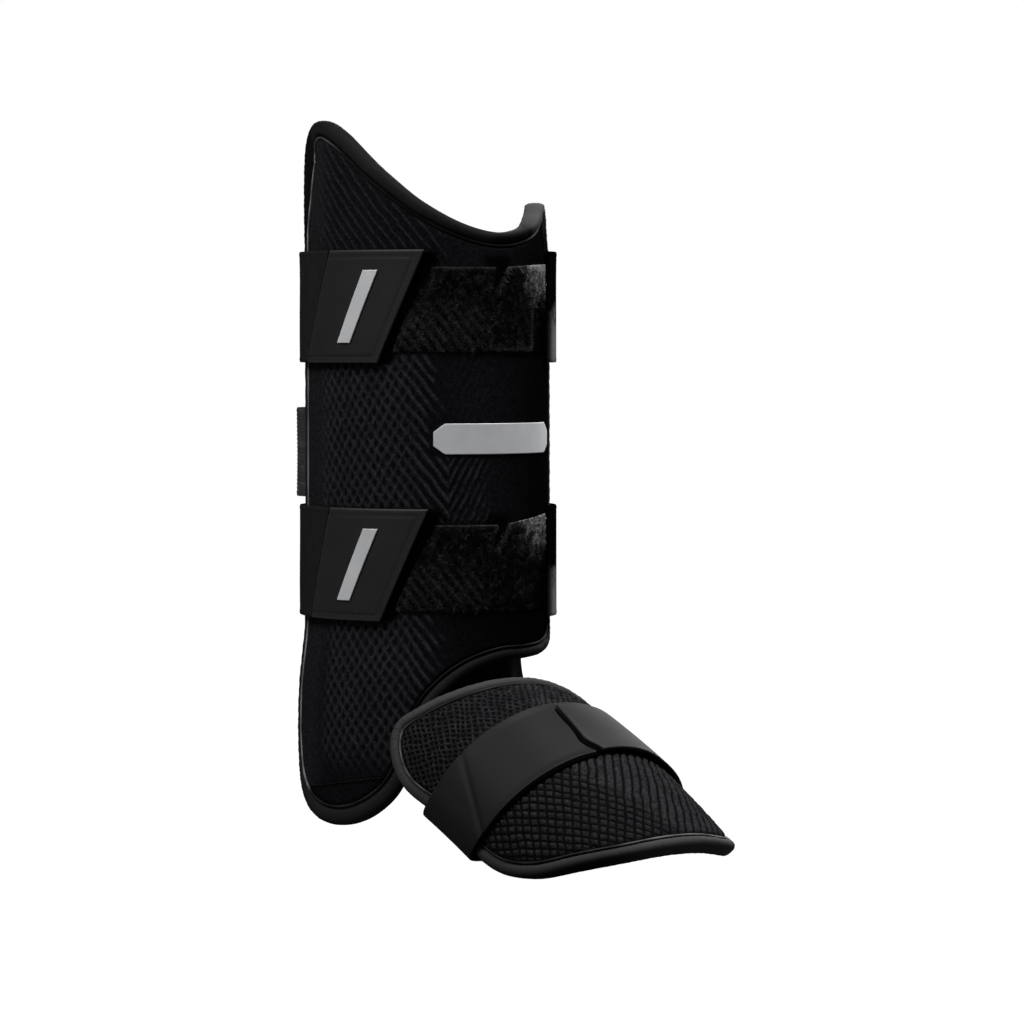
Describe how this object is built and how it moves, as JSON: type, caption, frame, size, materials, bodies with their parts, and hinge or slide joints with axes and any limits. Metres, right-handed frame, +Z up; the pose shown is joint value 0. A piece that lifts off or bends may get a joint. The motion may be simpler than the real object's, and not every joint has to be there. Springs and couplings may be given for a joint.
{
  "type": "batter's leg guard",
  "caption": "Padded guard for a batter's right shin and instep: a bound oval shin shell, a foot shell on an ankle tongue, hook-and-loop straps behind the calf and a strap under the foot.",
  "frame": {"origin": "on the axis of the leg, half way between the two shin straps", "axes": "+Z up along the leg, -Y towards the toe, -X towards the outer side of the right leg"},
  "size_m": [0.1307, 0.2803, 0.3857],
  "materials": {
    "shell_fabric": "matte moulded fabric with raised ribs",
    "binding": "rolled matte edge tape",
    "loop": "fuzzy loop pile",
    "hook": "dense moulded hooks",
    "tab": "smooth matte moulded rubber",
    "elastic": "ribbed woven elastic",
    "silver": "plain silver reflective film",
    "lining": "plain knit over foam",
    "foot_webbing": "smooth matte coated webbing"
  },
  "bodies": {
    "root": {"shin_shell": "shell_fabric", "shin_binding": "binding", "loop_patch_upper": "loop", "loop_patch_lower": "loop", "hook_pad_upper": "hook", "hook_pad_lower": "hook", "strap_tab_upper": "tab", "strap_tab_lower": "tab", "strap_upper": "elastic", "strap_lower": "elastic", "tab_strip_upper": "silver", "tab_strip_lower": "silver", "calf_band": "elastic", "shin_strip": "silver", "ankle_tongue": "lining", "foot_shell": "shell_fabric", "foot_binding": "binding", "foot_strap": "foot_webbing", "foot_flap": "foot_webbing"}
  },
  "joints": []
}
